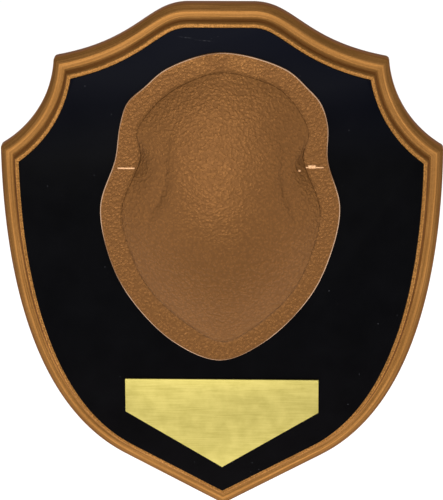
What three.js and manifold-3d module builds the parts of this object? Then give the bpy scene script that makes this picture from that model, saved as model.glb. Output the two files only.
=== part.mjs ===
// Shield shaped plaque with a moulded edge, a black face, a domed cover and a blank name plate.
// The back lies in the XZ plane with the origin at its middle, +Z is up and the front looks along -Y.
import * as THREE from "three";
import { mergeVertices } from "three/addons/utils/BufferGeometryUtils.js";
import Module from "manifold-3d";

const wasm = await Module();
wasm.setup();

// Shield board, outer outline
const boardWidth = 254;
const boardHeight = 303;
const boardThickness = 19;
const topFlatWidth = 36.5;
const earHalf = 95.4;
const earHeight = 119.8;
const earSlope = THREE.MathUtils.degToRad(10.2);
const shoulderStartPull = 24;
const shoulderEarPull = 50;
const hipHeight = 67.7;
const archRise = 7.7;
const sidePull = 78;
const flankPull = 60.5;
const pointRun = 66;
const pointSlope = THREE.MathUtils.degToRad(28.5);
const cornerRadius = 2.4;

// Moulded edge, measured inwards from the outline and back from the face
const backEase = 0.8;
const outerRoundWidth = 5.8;
const outerRoundRise = 5.2;
const ledgeWidth = 0.6;
const coveWidth = 2.1;
const coveRise = 4;
const innerRoundWidth = 1.6;
const innerRoundRise = 3.6;
const marginWidth = 1.4;

// Keyhole in the back, its entry placed below the top of the board
const keyholeEntryRadius = 5;
const keyholeDepth = 10;
const keyholeNeckWidth = 5;
const keyholeLipDepth = 3.5;
const keyholeTravel = 12;
const keyholeDrop = 67.5;

// Black face sheet
const seatGap = 0.3;
const panelThickness = 0.9;
const panelEdgeEase = 0.2;

// Domed cover, outline of its flange: how far each level lies below the crown and reaches right and left
const coverTopMargin = 25.2;
const flangeCrown = { drop: 0, right: 0.4 };
const flangeBrow = { drop: 9.3, right: 36.7, left: 29.9 };
const flangeBrowSide = { drop: 20.3, right: 49.4, left: 43.1 };
const flangeShoulder = { drop: 29.3, right: 57, left: 52.7 };
const flangeTemple = { drop: 42.3, right: 61, left: 57.1 };
const flangeWaist = { drop: 62.3, right: 61.1, left: 60.1 };
const flangeLobe = { drop: 90.3, right: 68.2, left: 69 };
const flangeCheek = { drop: 121.3, right: 62, left: 64.2 };
const flangeJaw = { drop: 145.8, right: 49.9, left: 52.3 };
const flangeChinSide = { drop: 171.8, right: 24.5, left: 27.8 };
const flangeChin = { drop: 182.9, right: -0.9 };

// Domed cover, outline of the foot of its dome, in the same way
const footCrown = { drop: 11.4, right: 1 };
const footBrow = { drop: 19.3, right: 31, left: 22.5 };
const footBrowSide = { drop: 25.4, right: 38.5, left: 31.4 };
const footShoulder = { drop: 32.3, right: 44, left: 38.6 };
const footTemple = { drop: 46.3, right: 50.2, left: 47.4 };
const footWaist = { drop: 61.3, right: 47.3, left: 45.8 };
const footLobe = { drop: 92.3, right: 56.9, left: 56.7 };
const footCheek = { drop: 121.3, right: 50.7, left: 50.7 };
const footJaw = { drop: 142.3, right: 39.8, left: 39.2 };
const footChinSide = { drop: 162.5, right: 18.6, left: 17 };
const footChin = { drop: 171.3, right: 0.8 };

// Domed cover, brow line above the ledge of its dome, in the same way
const browCrown = { drop: 32, right: 1 };
const browTop = { drop: 36, right: 16, left: 14 };
const browTopSide = { drop: 41, right: 25, left: 21 };
const browShoulder = { drop: 47, right: 31, left: 26 };
const browTemple = { drop: 56, right: 34, left: 28.5 };
const browWaist = { drop: 77, right: 34.3, left: 30 };
const browLobe = { drop: 101, right: 41.5, left: 40 };
const browCheek = { drop: 117.5, right: 40, left: 39 };
const browJaw = { drop: 134, right: 29, left: 28 };
const browChinSide = { drop: 149, right: 13.5, left: 12 };
const browChin = { drop: 155, right: 0.8 };

// Domed cover, section: a mound about its apex, let down to the flange along its rim, with a ledge
// outside the brow line at the waist
const coverThickness = 1.8;
const flangeEdgeEase = 0.5;
const domeRise = 17;
const apexDrop = 97.5;
const apexRight = 1;
const moundHalfWidth = 58;
const moundReachUp = 92;
const moundReachDown = 71.5;
const squarenessAbove = 2.2;
const squarenessBelow = 1.7;
const moundFullness = 1.75;
const apexRound = 0.2;
const rampShare = 0.25;
const topFrom = THREE.MathUtils.degToRad(20);
const topTo = THREE.MathUtils.degToRad(80);
const lobeRimRun = 1.2;
const waistRimRun = 0.45;
const waistLedgeDrop = 1.2;
const stepStart = 0.85;
const stepRun = 0.35;
const templeDirection = THREE.MathUtils.degToRad(30);
const templeSpread = THREE.MathUtils.degToRad(26);

// Trim marks moulded across the flange at the waist
const markLength = 9.8;
const markWidth = 1.1;
const markRise = 0.4;
const markDrop = 66.9;
const markMiddle = 53.6;

// Name plate, a clear gap below the cover
const coverPlateGap = 12;
const plateWidth = 112.6;
const plateSide = 20.1;
const plateHeight = 54.4;
const plateTipMargin = 28.5;
const plateThickness = 0.8;

// How finely curves are divided
const shoulderSteps = 10;
const archSteps = 8;
const flankSteps = 11;
const cornerSteps = 3;
const roundSteps = 5;
const coveSteps = 4;
const outlineSteps = 88;
const rimSteps = 9;
const crownSteps = 7;
const insideRimSteps = 5;
const insideCrownSteps = 4;
const domeCrowding = 1.4;
const circleSteps = 32;
const mergeDistance = 1e-4;

const panelInset = outerRoundWidth + ledgeWidth + coveWidth + innerRoundWidth + marginWidth;
const faceY = -boardThickness;
const panelBackY = faceY - seatGap;
const panelFrontY = panelBackY - panelThickness;
const coverBackY = panelFrontY - seatGap;
const coverFlangeY = coverBackY - coverThickness;
const plateBackY = panelFrontY - seatGap;
const boardTop = boardHeight / 2;
const coverTop = boardTop - coverTopMargin;

// The levels of the cover are fitted into the height left for it above the name plate.
const coverHeight = boardHeight - coverTopMargin - coverPlateGap - plateHeight - plateTipMargin;
const dropFit = coverHeight / flangeChin.drop;

const leftOf = (v) => new THREE.Vector2(-v.y, v.x);

// Splits a cubic curve evenly, leaving out its last point.
function curvePoints(start, startPull, endPull, end, steps) {
  const curve = new THREE.CubicBezierCurve(start, startPull, endPull, end);
  return curve.getSpacedPoints(steps).slice(0, -1);
}

// Points of a circular arc from start to end whose middle stands off the chord by rise, to the left.
function archPoints(start, end, rise, steps) {
  const chord = end.clone().sub(start);
  const radius = (chord.lengthSq() / 4 + rise * rise) / (2 * rise);
  const across = leftOf(chord).normalize();
  const centre = start.clone().add(end).multiplyScalar(0.5);
  centre.addScaledVector(across, rise - radius);
  const from = start.clone().sub(centre);
  const sweep = 2 * Math.asin(chord.length() / (2 * radius));
  const points = [];
  for (let i = 0; i < steps; i++) {
    const turned = from.clone().rotateAround(new THREE.Vector2(), (-sweep * i) / steps);
    points.push(centre.clone().add(turned));
  }
  return points;
}

// Right half of the shield from the middle of the top to the point, clockwise seen from the front.
// Each part of the list starts at a corner or at a smooth joint.
function shieldHalf() {
  const top = new THREE.Vector2(topFlatWidth / 2, boardTop);
  const ear = new THREE.Vector2(earHalf, earHeight);
  const hip = new THREE.Vector2(boardWidth / 2, hipHeight);
  const point = new THREE.Vector2(0, -boardTop);
  const rising = new THREE.Vector2(Math.cos(pointSlope), Math.sin(pointSlope));
  const flankEnd = point.clone().addScaledVector(rising, pointRun);
  const fromEar = new THREE.Vector2(-Math.cos(earSlope), Math.sin(earSlope));
  return {
    shoulder: curvePoints(
      top,
      top.clone().add(new THREE.Vector2(shoulderStartPull, 0)),
      ear.clone().addScaledVector(fromEar, shoulderEarPull),
      ear,
      shoulderSteps,
    ),
    arch: archPoints(ear, hip, -archRise, archSteps),
    flank: curvePoints(
      hip,
      hip.clone().add(new THREE.Vector2(0, -sidePull)),
      flankEnd.clone().addScaledVector(rising, flankPull),
      flankEnd,
      flankSteps,
    ),
    run: [flankEnd],
    point: [point],
  };
}

// The whole outline as places with a note of which are corners, clockwise seen from the front.
function shieldPath() {
  const half = shieldHalf();
  const cornerStarts = [half.arch[0], half.flank[0], half.point[0]];
  const right = [half.shoulder, half.arch, half.flank, half.run, half.point].flat();
  const marked = right.map((place) => ({ place, corner: cornerStarts.includes(place) }));
  const mirrored = marked.slice(0, -1).reverse();
  const left = mirrored.map(({ place, corner }) => ({
    place: new THREE.Vector2(-place.x, place.y),
    corner,
  }));
  return [...marked, ...left];
}

// Returns a function that gives the outline moved inwards by a distance, with the same number of points
// each time. Corners are rounded outside and run to a mitre once the distance passes their radius.
function insetter(path) {
  const nodes = path.map(({ place, corner }, i) => {
    const before = path.at(i - 1).place;
    const after = path[(i + 1) % path.length].place;
    const inNormal = leftOf(place.clone().sub(before)).normalize();
    const outNormal = leftOf(after.clone().sub(place)).normalize();
    const mitre = inNormal.clone().add(outNormal);
    mitre.divideScalar(1 + inNormal.dot(outNormal));
    return { place, corner, inNormal, outNormal, mitre };
  });
  const smoothPoint = (node, inset) => node.place.clone().addScaledVector(node.mitre, -inset);
  const cornerPoints = (node, inset) => {
    const radius = Math.max(cornerRadius - inset, 0);
    const centre = smoothPoint(node, Math.max(cornerRadius, inset));
    const turn = Math.acos(node.inNormal.dot(node.outNormal));
    return Array.from({ length: cornerSteps + 1 }, (_, k) => {
      const spoke = node.inNormal.clone().rotateAround(new THREE.Vector2(), (-turn * k) / cornerSteps);
      return centre.clone().addScaledVector(spoke, radius);
    });
  };
  return (inset) =>
    nodes.flatMap((node) => (node.corner ? cornerPoints(node, inset) : [smoothPoint(node, inset)]));
}

// Solid from triangles of 3-D points: joins equal points and drops triangles that have shrunk to a line.
function solidOf(triangles) {
  const soup = new THREE.BufferGeometry().setFromPoints(triangles.flat());
  return solidOfGeometry(soup);
}

function solidOfGeometry(geometry) {
  const bare = geometry.clone();
  bare.deleteAttribute("normal");
  bare.deleteAttribute("uv");
  const merged = mergeVertices(bare, mergeDistance);
  const kept = [];
  const index = merged.index.array;
  for (let i = 0; i < index.length; i += 3) {
    const [a, b, c] = index.slice(i, i + 3);
    if (a !== b && b !== c && c !== a) kept.push(a, b, c);
  }
  return new wasm.Manifold(
    new wasm.Mesh({
      numProp: 3,
      vertProperties: merged.attributes.position.array,
      triVerts: new Uint32Array(kept),
    }),
  );
}

const standing = (flat, y) => new THREE.Vector3(flat.x, y, flat.y);

// Triangles between two rings of points with the same count. The first ring is the one further back
// on the outside of a solid.
function band(rear, fore) {
  return rear.flatMap((a, i) => {
    const next = (i + 1) % rear.length;
    return [
      [a, fore[i], fore[next]],
      [a, fore[next], rear[next]],
    ];
  });
}

// Flat triangles filling a ring that stands at one depth, facing back or front.
function lid(ring, facesBack) {
  const flat = ring.map((p) => new THREE.Vector2(p.x, p.z));
  return THREE.ShapeUtils.triangulateShape(flat, []).map(([a, b, c]) => {
    const corners = [ring[a], ring[b], ring[c]];
    const across = flat[b].clone().sub(flat[a]).cross(flat[c].clone().sub(flat[a]));
    const looksBack = across < 0;
    return looksBack === facesBack ? corners : corners.reverse();
  });
}

// Solid through rings given from back to front, closed by flat lids.
function loft(rings) {
  const sides = rings.slice(1).flatMap((ring, i) => band(rings[i], ring));
  return solidOf([...sides, ...lid(rings[0], true), ...lid(rings.at(-1), false)]);
}

// Section of the moulded edge as insets and depths, from the back of the board to its face.
function edgeSection() {
  const quarter = (steps) =>
    Array.from({ length: steps + 1 }, (_, k) => (k / steps) * (Math.PI / 2));
  const ledgeInset = outerRoundWidth + ledgeWidth;
  const innerInset = ledgeInset + coveWidth;
  const faceInset = innerInset + innerRoundWidth;
  const ledgeDrop = innerRoundRise + coveRise;
  const fromFace = [
    ...quarter(roundSteps).map((a) => ({
      inset: faceInset - innerRoundWidth * Math.sin(a),
      drop: innerRoundRise * (1 - Math.cos(a)),
    })),
    ...quarter(coveSteps).slice(1).map((a) => ({
      inset: innerInset - coveWidth * (1 - Math.cos(a)),
      drop: innerRoundRise + coveRise * Math.sin(a),
    })),
    ...quarter(roundSteps).map((a) => ({
      inset: outerRoundWidth * (1 - Math.sin(a)),
      drop: ledgeDrop + outerRoundRise * (1 - Math.cos(a)),
    })),
  ];
  const moulded = fromFace.reverse().map(({ inset, drop }) => ({ inset, y: faceY + drop }));
  return [{ inset: backEase, y: 0 }, { inset: 0, y: -backEase }, ...moulded];
}

const shieldInset = insetter(shieldPath());

function shieldSlab(section) {
  return loft(section.map(({ inset, y }) => shieldInset(inset).map((p) => standing(p, y))));
}

// Round entry, narrow neck above it and a wider pocket behind the neck for the head of a screw.
function keyhole() {
  const roundHole = new THREE.CylinderGeometry(
    keyholeEntryRadius,
    keyholeEntryRadius,
    2 * keyholeDepth,
    circleSteps,
  );
  const entryHeight = boardTop - keyholeDrop;
  const entry = roundHole.translate(0, 0, entryHeight);
  const slot = (width, length) => {
    const half = width / 2;
    const shape = new THREE.Shape();
    shape.absarc(0, length, half, 0, Math.PI, false);
    shape.absarc(0, 0, half, Math.PI, 2 * Math.PI, false);
    return shape;
  };
  const cut = (width, from, to) =>
    new THREE.ExtrudeGeometry(slot(width, keyholeTravel), {
      depth: to - from,
      bevelEnabled: false,
      curveSegments: circleSteps / 2,
    })
      .rotateX(Math.PI / 2)
      .translate(0, -from, entryHeight);
  const neck = cut(keyholeNeckWidth, -keyholeLipDepth, keyholeDepth);
  const pocket = cut(2 * keyholeEntryRadius, keyholeLipDepth, keyholeDepth);
  return [entry, neck, pocket].map(solidOfGeometry).reduce((whole, piece) => whole.add(piece));
}

function boardSolid() {
  return shieldSlab(edgeSection()).subtract(keyhole());
}

function panelSolid() {
  return shieldSlab([
    { inset: panelInset, y: panelBackY },
    { inset: panelInset, y: panelFrontY + panelEdgeEase },
    { inset: panelInset + panelEdgeEase, y: panelFrontY },
  ]);
}

// Closed curve through levels given from the top down, as evenly numbered places clockwise from the top.
function levelPath(crown, levels, chin) {
  const onLevel = (x, level) => new THREE.Vector3(x, coverTop - level.drop * dropFit, 0);
  const right = levels.map((level) => onLevel(level.right, level));
  const left = levels.map((level) => onLevel(-level.left, level)).reverse();
  const top = onLevel(crown.right, crown);
  const bottom = onLevel(chin.right, chin);
  const curve = new THREE.CatmullRomCurve3([top, ...right, bottom, ...left], true, "centripetal");
  return curve
    .getPoints(outlineSteps)
    .slice(0, -1)
    .map((p) => ({ place: new THREE.Vector2(p.x, p.y), corner: false }));
}

const clamp01 = (t) => Math.min(Math.max(t, 0), 1);
const easeBoth = (t) => clamp01(t) ** 2 * (3 - 2 * clamp01(t));
const easeOut = (t) => 1 - (1 - clamp01(t)) ** 2;

// Rise of the whole mound at a place given from its apex.
function moundHeight(place) {
  const above = place.y > 0;
  const power = above ? squarenessAbove : squarenessBelow;
  const across = Math.abs(place.x / moundHalfWidth);
  const along = Math.abs(place.y / (above ? moundReachUp : moundReachDown) / dropFit);
  const out = (across ** power + along ** power) ** (1 / power);
  const upwards = Math.atan2(place.y, Math.abs(place.x));
  const toTop = easeBoth((upwards - topFrom) / (topTo - topFrom));
  const rounded = 1 - out ** moundFullness;
  const ramped =
    1 - (Math.hypot(out, apexRound) - apexRound) / (Math.hypot(1, apexRound) - apexRound);
  return domeRise * (rounded + (ramped - rounded) * toTop * rampShare);
}

// Rise of the dome at a place on the way from a place on its foot, both given from the apex. The stage
// runs from 0 at the foot to 1 at the brow line and 2 at the apex.
function domeHeight(place, footPlace, stage) {
  const direction = Math.atan2(footPlace.y, Math.abs(footPlace.x));
  const toWaist = Math.exp(-(((direction - templeDirection) / templeSpread) ** 2));
  const rimRun = lobeRimRun + (waistRimRun - lobeRimRun) * toWaist;
  const rim = easeOut(stage / rimRun);
  const step = easeBoth((stage - stepStart) / stepRun);
  const ledge = waistLedgeDrop * toWaist * rim * (1 - step);
  return moundHeight(place) - moundHeight(footPlace) * (1 - rim) - ledge;
}

// The cover is one sheet: its inside, round the flange and up its outside, ring by ring between two poles.
function coverSolid() {
  const flangeLevels = [
    flangeBrow,
    flangeBrowSide,
    flangeShoulder,
    flangeTemple,
    flangeWaist,
    flangeLobe,
    flangeCheek,
    flangeJaw,
    flangeChinSide,
  ];
  const footLevels = [
    footBrow,
    footBrowSide,
    footShoulder,
    footTemple,
    footWaist,
    footLobe,
    footCheek,
    footJaw,
    footChinSide,
  ];
  const browLevels = [
    browTop,
    browTopSide,
    browShoulder,
    browTemple,
    browWaist,
    browLobe,
    browCheek,
    browJaw,
    browChinSide,
  ];
  const flangeInset = insetter(levelPath(flangeCrown, flangeLevels, flangeChin));
  const footInset = insetter(levelPath(footCrown, footLevels, footChin));
  const browInset = insetter(levelPath(browCrown, browLevels, browChin));
  const apex = new THREE.Vector2(apexRight, coverTop - apexDrop * dropFit);
  const domeRings = (inset, floorY, stages) => {
    const foot = footInset(inset);
    const brow = browInset(inset);
    return stages.map((stage) =>
      foot.map((start, i) => {
        const onRim = start.clone().lerp(brow[i], Math.min(stage, 1));
        const place = onRim.lerp(apex, Math.max(stage - 1, 0));
        const rise = domeHeight(place.clone().sub(apex), start.clone().sub(apex), stage);
        return standing(place, floorY - rise);
      }),
    );
  };
  const stages = (rim, crown) => [
    ...Array.from({ length: rim }, (_, k) => (k / rim) ** domeCrowding),
    ...Array.from({ length: crown }, (_, k) => 1 + (k / crown) ** domeCrowding),
  ];
  const inside = domeRings(coverThickness, coverBackY, stages(insideRimSteps, insideCrownSteps));
  const outside = domeRings(0, coverFlangeY, stages(rimSteps, crownSteps));
  const flange = [
    { inset: 0, y: coverBackY },
    { inset: 0, y: coverFlangeY + flangeEdgeEase },
    { inset: flangeEdgeEase, y: coverFlangeY },
  ].map(({ inset, y }) => flangeInset(inset).map((p) => standing(p, y)));
  const rings = [...inside.reverse(), ...flange, ...outside];
  const insidePole = standing(apex, coverBackY - domeRise);
  const outsidePole = standing(apex, coverFlangeY - domeRise);
  const fan = (ring, pole) => ring.map((p, i) => [pole, p, ring[(i + 1) % ring.length]]);
  const sides = rings.slice(1).flatMap((ring, i) => band(rings[i], ring));
  const insideFan = fan(rings[0], insidePole);
  const outsideFan = fan(rings.at(-1), outsidePole).map((triangle) => triangle.reverse());
  const sheet = solidOf([...sides, ...insideFan, ...outsideFan]);
  return [1, -1].reduce((whole, side) => whole.add(trimMark(side)), sheet);
}

// Low rib across the flange at the waist, sunk a little into it.
function trimMark(side) {
  const rib = new THREE.BoxGeometry(markLength, 2 * markRise, markWidth);
  rib.translate(side * markMiddle, coverFlangeY, coverTop - markDrop * dropFit);
  return solidOfGeometry(rib);
}

function plateSolid() {
  const half = plateWidth / 2;
  const tip = plateTipMargin - boardTop;
  const top = tip + plateHeight;
  const shape = new THREE.Shape([
    new THREE.Vector2(-half, top),
    new THREE.Vector2(half, top),
    new THREE.Vector2(half, top - plateSide),
    new THREE.Vector2(0, tip),
    new THREE.Vector2(-half, top - plateSide),
  ]);
  const sheet = new THREE.ExtrudeGeometry(shape, { depth: plateThickness, bevelEnabled: false });
  return solidOfGeometry(sheet.rotateX(Math.PI / 2).translate(0, plateBackY, 0));
}

function meshOf(name, solid, material) {
  const mesh = solid.getMesh();
  const geometry = new THREE.BufferGeometry();
  geometry.setAttribute("position", new THREE.BufferAttribute(mesh.vertProperties, mesh.numProp));
  geometry.setIndex(new THREE.BufferAttribute(mesh.triVerts, 1));
  geometry.computeVertexNormals();
  const made = new THREE.Mesh(geometry, new THREE.MeshStandardMaterial(material));
  made.name = name;
  return made;
}

const plaque = new THREE.Group();
plaque.name = "antler_mounting_plaque";
const copperPaint = { color: 0x9a6538, roughness: 0.45, metalness: 0.55 };
const blackSheet = { color: 0x0d0d10, roughness: 0.35, metalness: 0 };
const grainedCopper = { color: 0x99643a, roughness: 0.5, metalness: 0.5 };
const brass = { color: 0xd6c56a, roughness: 0.35, metalness: 0.85 };
plaque.add(meshOf("plaque_board", boardSolid(), copperPaint));
plaque.add(meshOf("face_panel", panelSolid(), blackSheet));
plaque.add(meshOf("skull_cover", coverSolid(), grainedCopper));
plaque.add(meshOf("name_plate", plateSolid(), brass));

export default plaque;
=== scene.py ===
import math

import bmesh
import bpy
from mathutils import Matrix, Vector
from mathutils.geometry import intersect_line_line_2d


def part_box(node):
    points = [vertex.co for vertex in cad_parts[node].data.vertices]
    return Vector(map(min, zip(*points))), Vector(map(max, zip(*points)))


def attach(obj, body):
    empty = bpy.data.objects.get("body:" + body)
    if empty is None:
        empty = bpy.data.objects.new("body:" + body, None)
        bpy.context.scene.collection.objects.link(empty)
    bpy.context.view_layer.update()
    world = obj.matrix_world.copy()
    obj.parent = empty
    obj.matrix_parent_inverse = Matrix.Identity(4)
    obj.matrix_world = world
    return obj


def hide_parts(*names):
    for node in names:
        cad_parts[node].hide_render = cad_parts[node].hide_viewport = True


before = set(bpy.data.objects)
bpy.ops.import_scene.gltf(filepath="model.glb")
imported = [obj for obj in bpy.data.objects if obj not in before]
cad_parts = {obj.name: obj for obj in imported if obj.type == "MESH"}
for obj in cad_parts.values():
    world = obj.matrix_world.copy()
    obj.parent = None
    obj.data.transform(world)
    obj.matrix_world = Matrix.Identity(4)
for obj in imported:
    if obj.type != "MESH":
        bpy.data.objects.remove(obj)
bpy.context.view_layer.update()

mm = 0.001
boardLow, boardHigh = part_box("plaque_board")
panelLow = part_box("face_panel")[0]
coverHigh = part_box("skull_cover")[1]
plateLow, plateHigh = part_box("name_plate")
seatGap = 0.02 * mm    # left under a piece that is pressed down on another


# Shared modelling steps

def deselectAll():
    for thing in bpy.context.selected_objects:
        thing.select_set(False)


def makeActive(piece):
    deselectAll()
    piece.select_set(True)
    bpy.context.view_layer.objects.active = piece


# A closed ring of edges on the first station. Each vertex remembers its number along the ring
# and the number of its station.
def startRing(name, ring):
    deselectAll()
    bpy.ops.mesh.primitive_circle_add(vertices=len(ring), radius=10 * mm, fill_type="NOTHING")
    piece = bpy.context.object
    piece.name = name
    piece.data.name = name
    along = piece.data.attributes.new("along", "INT", "POINT")
    piece.data.attributes.new("across", "INT", "POINT")
    for i, place in enumerate(ring):
        piece.data.vertices[i].co = place
        along.data[i].value = i
    return piece


# Extrudes the rim of the piece to each next station in turn.
def drawThrough(piece, rings):
    makeActive(piece)
    bpy.ops.object.mode_set(mode="EDIT")
    bpy.ops.mesh.select_all(action="SELECT")
    for station, ring in enumerate(rings[1:], 1):
        bpy.ops.mesh.extrude_region_move()
        mesh = bmesh.from_edit_mesh(piece.data)
        along = mesh.verts.layers.int["along"]
        across = mesh.verts.layers.int["across"]
        for vertex in mesh.verts:
            if vertex.select:
                vertex.co = ring[vertex[along]]
                vertex[across] = station
        bmesh.update_edit_mesh(piece.data)
    bpy.ops.object.mode_set(mode="OBJECT")


def selectStation(piece, station):
    bpy.ops.mesh.select_all(action="DESELECT")
    mesh = bmesh.from_edit_mesh(piece.data)
    across = mesh.verts.layers.int["across"]
    for vertex in mesh.verts:
        vertex.select = vertex[across] == station
    mesh.select_flush(True)
    bmesh.update_edit_mesh(piece.data)


# Merges what a mitre has drawn together, then closes the first and last ring, with one flat face or by
# drawing the ring together at its middle.
def closeEnds(piece, lastStation, toPoint=False):
    makeActive(piece)
    bpy.ops.object.mode_set(mode="EDIT")
    bpy.ops.mesh.select_mode(type="VERT")
    bpy.ops.mesh.select_all(action="SELECT")
    bpy.ops.mesh.remove_doubles(threshold=0.002 * mm)
    for station in (0, lastStation):
        selectStation(piece, station)
        if toPoint:
            bpy.ops.mesh.merge(type="CENTER")
        else:
            bpy.ops.mesh.edge_face_add()
    bpy.ops.mesh.select_all(action="SELECT")
    bpy.ops.mesh.normals_make_consistent(inside=False)
    bpy.ops.object.mode_set(mode="OBJECT")


def shadeByAngle(piece, degrees):
    makeActive(piece)
    bpy.ops.object.shade_smooth_by_angle(angle=math.radians(degrees))


# A UV map in metres: u runs along the rings and v across the stations.
def mapAlongRings(piece, rings):
    def runningLength(places):
        total = [0.0]
        for a, b in zip(places, places[1:]):
            total.append(total[-1] + (b - a).length)
        return total

    middle = rings[len(rings) // 2]
    lengths = runningLength([*middle, middle[0]])
    heights = runningLength([ring[0] for ring in rings])
    last = len(middle) - 1
    mesh = piece.data
    along = [item.value for item in mesh.attributes["along"].data]
    across = [item.value for item in mesh.attributes["across"].data]
    layer = mesh.uv_layers.new(name="alongEdge")
    for face in mesh.polygons:
        places = [along[v] for v in face.vertices]
        overSeam = 0 in places and last in places
        for loop, vertex in zip(face.loop_indices, face.vertices):
            i = along[vertex]
            u = lengths[last + 1] if overSeam and i == 0 else lengths[i]
            layer.data[loop].uv = (u, heights[across[vertex]])


def finishPiece(piece, node, materials):
    for material in materials:
        piece.data.materials.append(material)
    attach(piece, "root")
    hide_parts(node)
    print("made", piece.name, "with", len(piece.data.polygons), "faces")


# Outlines

shield = {
    "width": 253.95 * mm,
    "height": 302.95 * mm,
    "topFlat": 36.5 * mm,
    "earHalf": 95.4 * mm,
    "earHeight": 119.8 * mm,
    "earSlope": math.radians(10.2),
    "shoulderStartPull": 24 * mm,
    "shoulderEarPull": 50 * mm,
    "hipHeight": 67.7 * mm,
    "archRise": 7.7 * mm,
    "sidePull": 78 * mm,
    "flankPull": 60.5 * mm,
    "pointRun": 66 * mm,
    "pointSlope": math.radians(28.5),
    "cornerRadius": 2.5 * mm,
    "flatSteps": 10,
    "shoulderSteps": 44,
    "archSteps": 34,
    "flankSteps": 60,
    "runSteps": 20,
    "cornerSteps": 7,
}


def cubicPoints(start, startPull, endPull, end, steps):
    points = []
    for k in range(steps):
        t = k / steps
        s = 1 - t
        points.append(s**3 * start + 3 * s * s * t * startPull + 3 * s * t * t * endPull + t**3 * end)
    return points


# Points of an arc from start to end whose middle stands off the chord by rise, to its right.
def archPoints(start, end, rise, steps):
    chord = end - start
    radius = (chord.length_squared / 4 + rise * rise) / (2 * rise)
    across = Vector((chord.y, -chord.x)).normalized()
    centre = (start + end) / 2 + across * (rise - radius)
    sweep = 2 * math.asin(chord.length / (2 * radius))
    points = []
    for k in range(steps):
        turn = Matrix.Rotation(sweep * k / steps, 2)
        points.append(centre + turn @ (start - centre))
    return points


def leftOf(v):
    return Vector((-v.y, v.x)).normalized()


def withNormals(path, closed=False):
    before = [path[-1] if closed else path[0], *path[:-1]]
    after = [*path[1:], path[0] if closed else path[-1]]
    return [(place, leftOf(b - a)) for a, place, b in zip(before, path, after)]


# Right half of the shield in three stretches from corner to corner, clockwise from the middle of the top.
def shieldStretches(s):
    middle = Vector((0, s["height"] / 2))
    top = Vector((s["topFlat"] / 2, s["height"] / 2))
    ear = Vector((s["earHalf"], s["earHeight"]))
    hip = Vector((s["width"] / 2, s["hipHeight"]))
    point = Vector((0, -s["height"] / 2))
    rising = Vector((math.cos(s["pointSlope"]), math.sin(s["pointSlope"])))
    flankEnd = point + rising * s["pointRun"]
    fromEar = Vector((-math.cos(s["earSlope"]), math.sin(s["earSlope"])))
    topPull = top + Vector((s["shoulderStartPull"], 0))
    earPull = ear + fromEar * s["shoulderEarPull"]
    hipPull = hip + Vector((0, -s["sidePull"]))
    flankPull = flankEnd + rising * s["flankPull"]
    flat = [middle.lerp(top, k / s["flatSteps"]) for k in range(s["flatSteps"])]
    shoulder = cubicPoints(top, topPull, earPull, ear, s["shoulderSteps"])
    arch = archPoints(ear, hip, s["archRise"], s["archSteps"])
    flank = cubicPoints(hip, hipPull, flankPull, flankEnd, s["flankSteps"])
    run = [flankEnd.lerp(point, k / s["runSteps"]) for k in range(s["runSteps"])]
    return [withNormals(path) for path in ([*flat, *shoulder, ear], [*arch, hip], [*flank, *run, point])]


# A place and its normal part of the way along a stretch, counted in its steps.
def alongStretch(stretch, t):
    i = min(int(t), len(stretch) - 2)
    (a, aNormal), (b, bNormal) = stretch[i], stretch[i + 1]
    return a.lerp(b, t - i), aNormal.lerp(bNormal, t - i).normalized()


# How far along each of two lines of points they cross, the last crossing of the first line.
def crossing(first, second):
    for i in range(len(first) - 2, -1, -1):
        for j in range(len(second) - 1):
            hit = intersect_line_line_2d(first[i], first[i + 1], second[j], second[j + 1])
            if hit:
                t = (hit - first[i]).length / (first[i + 1] - first[i]).length
                u = (hit - second[j]).length / (second[j + 1] - second[j]).length
                return i + t, j + u
    return len(first) - 1, 0


# The whole outline moved inwards, always with as many points. The stretches are cut where they meet, the
# corners are rounded outside and run to a mitre once the distance passes their radius.
def shieldInset(inset):
    cut = max(inset, shield["cornerRadius"])
    lines = [[place - normal * cut for place, normal in stretch] for stretch in stretches]
    middleLine = [Vector((0, shield["height"])), Vector((0, -shield["height"]))]
    ear = crossing(lines[0], lines[1])
    hip = crossing(lines[1], lines[2])
    tip = crossing(lines[2], middleLine)
    spans = [(0, ear[0]), (ear[1], hip[0]), (hip[1], tip[0])]
    half = []
    for i, (stretch, (start, end)) in enumerate(zip(stretches, spans)):
        steps = len(stretch) - 1
        for k in range(steps + 1):
            place, normal = alongStretch(stretch, start + (end - start) * k / steps)
            half.append(place - normal * inset)
        centre = place - normal * cut
        nextNormal = Vector((0, -1)) if i == 2 else alongStretch(stretches[i + 1], spans[i + 1][0])[1]
        turn = math.acos(min(normal.dot(nextNormal), 1))
        for k in range(1, shield["cornerSteps"] + (i == 2)):
            spoke = Matrix.Rotation(-turn * k / shield["cornerSteps"], 2) @ normal
            half.append(centre + spoke * (cut - inset))
    half[0].x = 0
    half[-1].x = 0
    return half + [Vector((-p.x, p.y)) for p in reversed(half[1:-1])]


# A smooth closed line moved inwards.
def smoothInset(path, inset):
    return [place - normal * inset for place, normal in withNormals(path, closed=True)]


def standing(points, y):
    return [Vector((p.x, y, p.y)) for p in points]


stretches = shieldStretches(shield)
print("outline has", len(shieldInset(0)), "points")


# Materials

def newMaterial(name):
    material = bpy.data.materials.new(name)
    material.use_nodes = True
    return material, material.node_tree, material.node_tree.nodes["Principled BSDF"]


def objectPlace(tree, scale=(1, 1, 1), shift=(0, 0, 0)):
    place = tree.nodes.new("ShaderNodeTexCoord")
    mapping = tree.nodes.new("ShaderNodeMapping")
    mapping.inputs["Scale"].default_value = scale
    mapping.inputs["Location"].default_value = shift
    tree.links.new(place.outputs["Object"], mapping.inputs["Vector"])
    return mapping.outputs["Vector"]


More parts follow.
